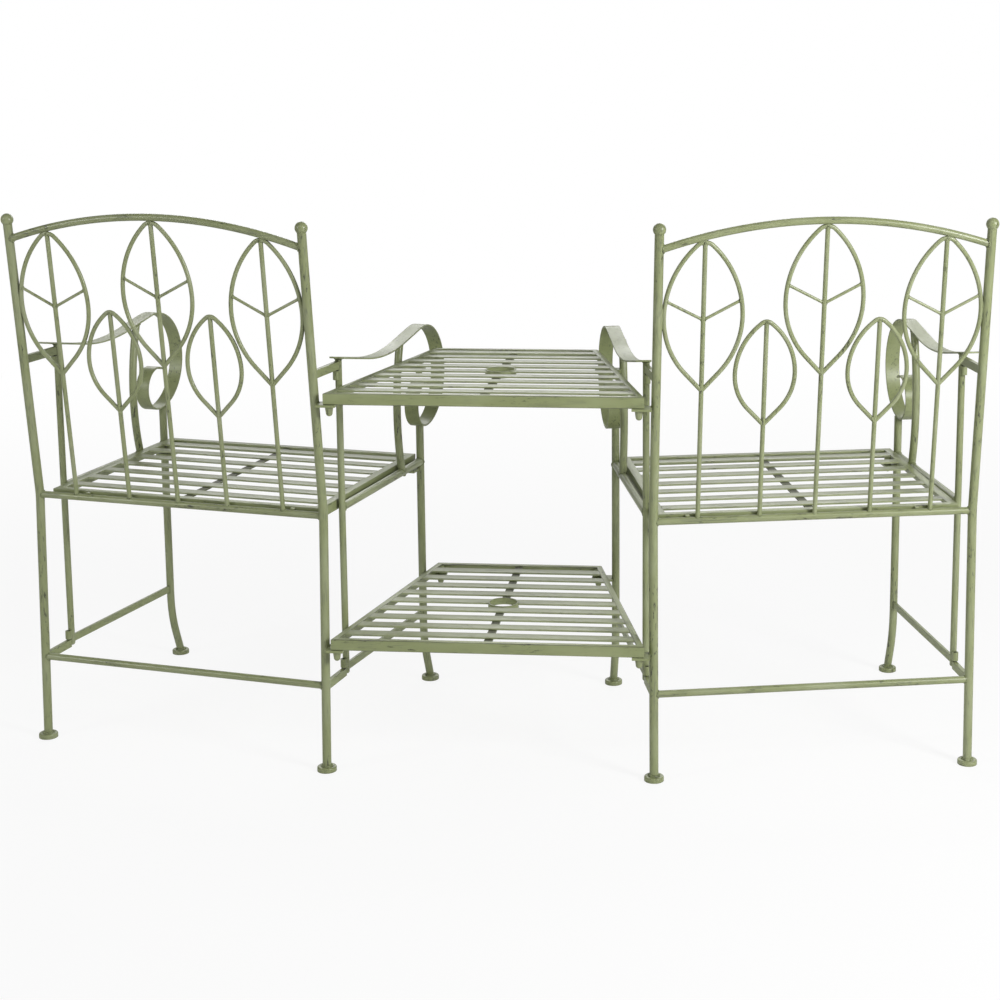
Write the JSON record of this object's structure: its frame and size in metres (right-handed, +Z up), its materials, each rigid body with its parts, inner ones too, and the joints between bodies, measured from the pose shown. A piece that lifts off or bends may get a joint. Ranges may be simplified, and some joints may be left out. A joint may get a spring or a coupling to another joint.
{
  "type": "companion seat bench",
  "caption": "Companion bench: metal armchair seats angled together with wire-leaf backs, joined by a lift-off slatted table and shelf that take a parasol pole.",
  "frame": {"origin": "on the floor under the middle of the object's box", "axes": "+Z up; the sitters face -Y; +X runs to the left-hand side of the picture, which is taken from behind; the bench is mirror-symmetric about X = 0"},
  "size_m": [1.6472, 0.6754, 0.9415],
  "materials": {
    "frame_paint": "satin sage-green paint, brushed with dark streaks and worn darker at edges and welds",
    "slat_paint": "satin sage-green paint, brushed along each slat, a little paler",
    "pin_steel": "dark dull steel"
  },
  "bodies": {
    "frame": {"left_arm_strips": "frame_paint", "left_arm_supports": "frame_paint", "left_back_posts": "frame_paint", "left_bracket_bars": "frame_paint", "left_foot_discs": "frame_paint", "left_front_legs": "frame_paint", "left_hinge_pins": "pin_steel", "left_hinge_sockets": "frame_paint", "left_leaf_stems": "frame_paint", "left_leaf_veins": "frame_paint", "left_low_rear_stretcher": "frame_paint", "left_low_side_stretchers": "frame_paint", "left_peg_lugs": "frame_paint", "left_post_finials": "frame_paint", "left_rear_uprights": "frame_paint", "left_seat_level_rail": "frame_paint", "left_short_leaves": "frame_paint", "left_side_seat_rails": "frame_paint", "left_tall_leaves": "frame_paint", "left_top_rail": "frame_paint", "right_arm_strips": "frame_paint", "right_arm_supports": "frame_paint", "right_back_posts": "frame_paint", "right_bracket_bars": "frame_paint", "right_foot_discs": "frame_paint", "right_front_legs": "frame_paint", "right_hinge_pins": "pin_steel", "right_hinge_sockets": "frame_paint", "right_leaf_stems": "frame_paint", "right_leaf_veins": "frame_paint", "right_low_rear_stretcher": "frame_paint", "right_low_side_stretchers": "frame_paint", "right_peg_lugs": "frame_paint", "right_post_finials": "frame_paint", "right_rear_uprights": "frame_paint", "right_seat_level_rail": "frame_paint", "right_short_leaves": "frame_paint", "right_side_seat_rails": "frame_paint", "right_tall_leaves": "frame_paint", "right_top_rail": "frame_paint"},
    "table_top": {"table_frame": "frame_paint", "table_pegs": "frame_paint", "table_ring": "frame_paint", "table_slats": "slat_paint", "table_strap": "frame_paint"},
    "lower_shelf": {"shelf_frame": "frame_paint", "shelf_pegs": "frame_paint", "shelf_ring": "frame_paint", "shelf_slats": "slat_paint", "shelf_strap": "frame_paint"},
    "left_seat": {"left_seat_frame": "frame_paint", "left_seat_hooks": "frame_paint", "left_seat_pegs": "frame_paint", "left_seat_slats": "slat_paint", "left_seat_strap": "frame_paint"},
    "right_seat": {"right_seat_frame": "frame_paint", "right_seat_hooks": "frame_paint", "right_seat_pegs": "frame_paint", "right_seat_slats": "slat_paint", "right_seat_strap": "frame_paint"}
  },
  "joints": [
    {"name": "table_top_lift", "type": "slide", "parent": "frame", "child": "table_top", "axis": [0, 0, 1], "range_m": [0, 0.04]},
    {"name": "lower_shelf_lift", "type": "slide", "parent": "frame", "child": "lower_shelf", "axis": [0, 0, 1], "range_m": [0, 0.04]},
    {"name": "left_seat_lift", "type": "slide", "parent": "frame", "child": "left_seat", "axis": [0, 0, 1], "range_m": [0, 0.04]},
    {"name": "right_seat_lift", "type": "slide", "parent": "frame", "child": "right_seat", "axis": [0, 0, 1], "range_m": [0, 0.04]}
  ]
}
